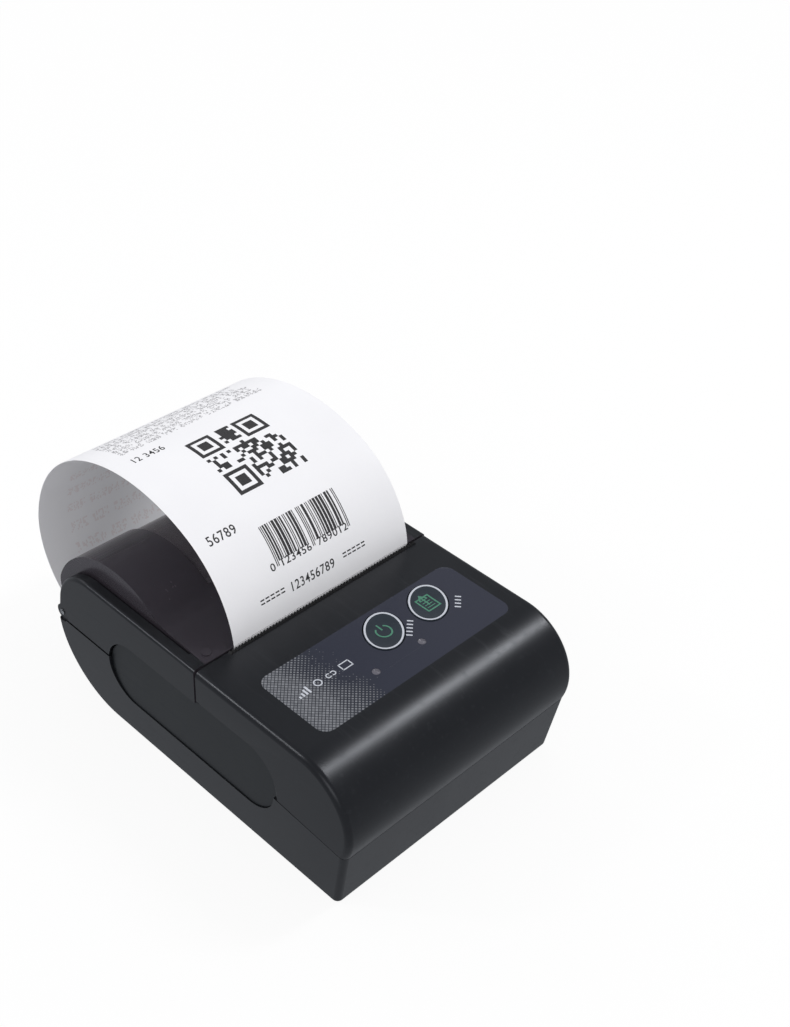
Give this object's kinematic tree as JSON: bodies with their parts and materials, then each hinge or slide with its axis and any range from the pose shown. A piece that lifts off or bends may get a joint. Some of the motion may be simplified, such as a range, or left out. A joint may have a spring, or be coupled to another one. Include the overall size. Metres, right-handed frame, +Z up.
{
  "type": "portable receipt printer",
  "caption": "Pocket receipt printer with a rounded body, side finger scoops, a domed hinged roll cover, two keys on a label and a curling printed receipt.",
  "frame": {"origin": "on the underside, in the middle of the body", "axes": "+X to the right seen from the front, +Y to the rear, +Z up"},
  "size_m": [0.0754, 0.1286, 0.0666],
  "materials": {
    "shell": "satin black, fine grain",
    "cover": "smoky black, glossier than the shell",
    "window": "smoked, slightly see-through",
    "label": "dark slate film, semi-gloss",
    "key": "dark slate film over a soft cap",
    "lamp": "clear light guide",
    "steel": "bright",
    "alloy": "extruded",
    "ceramic": "glazed",
    "rubber": "matt",
    "gear": "natural",
    "paper": "thermal paper, matt",
    "core": "grey plastic core",
    "board": "green solder mask",
    "chip": "black",
    "battery": "wrapped cell",
    "contact": "gilt",
    "bush": "black"
  },
  "bodies": {
    "case": {"base_shell": "shell", "upper_housing": "shell", "hinge_pin": "steel", "control_label": "label", "status_lamp_pipes": "lamp", "tear_bar": "chip", "paper_web": "paper", "paper_guide": "shell", "head_pin": "steel", "head_spring": "steel", "head_flex": "contact", "mechanism_frame": "steel", "frame_screws": "steel", "idler_pin": "steel", "motor": "steel", "motor_screws": "steel", "main_board": "board", "controller_chip": "chip", "radio_module": "steel", "flex_connector": "gear", "key_switches": "chip", "status_lamps": "lamp", "charging_socket": "steel", "board_screws": "steel", "battery_pack": "battery", "battery_contacts": "contact", "case_screws": "steel"},
    "cover": {"roll_cover": "cover", "cover_window": "window", "platen_holder": "shell", "holder_screws": "steel", "platen_bushing_left": "bush", "platen_bushing_right": "bush"},
    "platen": {"platen_roller": "rubber", "platen_shaft": "steel", "platen_gear": "gear"},
    "roll": {"paper_roll": "paper", "roll_core": "core"},
    "idler": {"idler_gear": "gear"},
    "rotor": {"motor_pinion": "contact"},
    "receipt": {"printed_receipt": "paper"},
    "head": {"head_substrate": "ceramic", "head_sink": "alloy"},
    "power_key": {"power_key": "key"},
    "feed_key": {"feed_key": "key"},
    "battery_door": {"battery_door": "shell"}
  },
  "joints": [
    {"name": "lid_hinge", "type": "hinge", "parent": "case", "child": "cover", "pos_m": [0, 0.0501, 0.0228], "axis": [-1, 0, 0], "range_deg": [0, 88]},
    {"name": "receipt_fold", "type": "hinge", "parent": "case", "child": "receipt", "pos_m": [0.0025, -0.0028, 0.0399], "axis": [1, 0, 0], "range_deg": [0, 88]},
    {"name": "roll_spin", "type": "hinge", "parent": "case", "child": "roll", "pos_m": [0.0025, 0.0306, 0.0169], "axis": [1, 0, 0], "continuous": true},
    {"name": "platen_spin", "type": "hinge", "parent": "cover", "child": "platen", "pos_m": [0.0025, 0.00177, 0.0315], "axis": [1, 0, 0], "continuous": true},
    {"name": "idler_spin", "type": "hinge", "parent": "case", "child": "idler", "pos_m": [-0.031, 0.00074, 0.02313], "axis": [1, 0, 0], "continuous": true},
    {"name": "motor_spin", "type": "hinge", "parent": "case", "child": "rotor", "pos_m": [-0.031, -0.00428, 0.01539], "axis": [1, 0, 0], "continuous": true},
    {"name": "power_button", "type": "slide", "parent": "case", "child": "power_key", "axis": [0, 0, -1], "range_m": [0, 0.0005], "stiffness_N_per_m": 400},
    {"name": "feed_button", "type": "slide", "parent": "case", "child": "feed_key", "axis": [0, 0, -1], "range_m": [0, 0.0005], "stiffness_N_per_m": 400},
    {"name": "print_head_pivot", "type": "hinge", "parent": "case", "child": "head", "pos_m": [0.0025, -0.00514, 0.0244], "axis": [1, 0, 0], "range_deg": [0, 4], "stiffness_Nm_per_rad": 0.5, "springref_deg": -5.73, "deforming": ["head_spring"]},
    {"name": "battery_door_hinge", "type": "hinge", "parent": "case", "child": "battery_door", "pos_m": [0, -0.01625, 0.0008], "axis": [1, 0, 0], "range_deg": [0, 60]}
  ],
  "couplings": [
    {"joint": "receipt_fold", "follows": "lid_hinge", "ratio": 1},
    {"joint": "platen_spin", "follows": "roll_spin", "ratio": 3.302},
    {"joint": "idler_spin", "follows": "roll_spin", "ratio": -5.3657},
    {"joint": "motor_spin", "follows": "roll_spin", "ratio": 12.264}
  ]
}
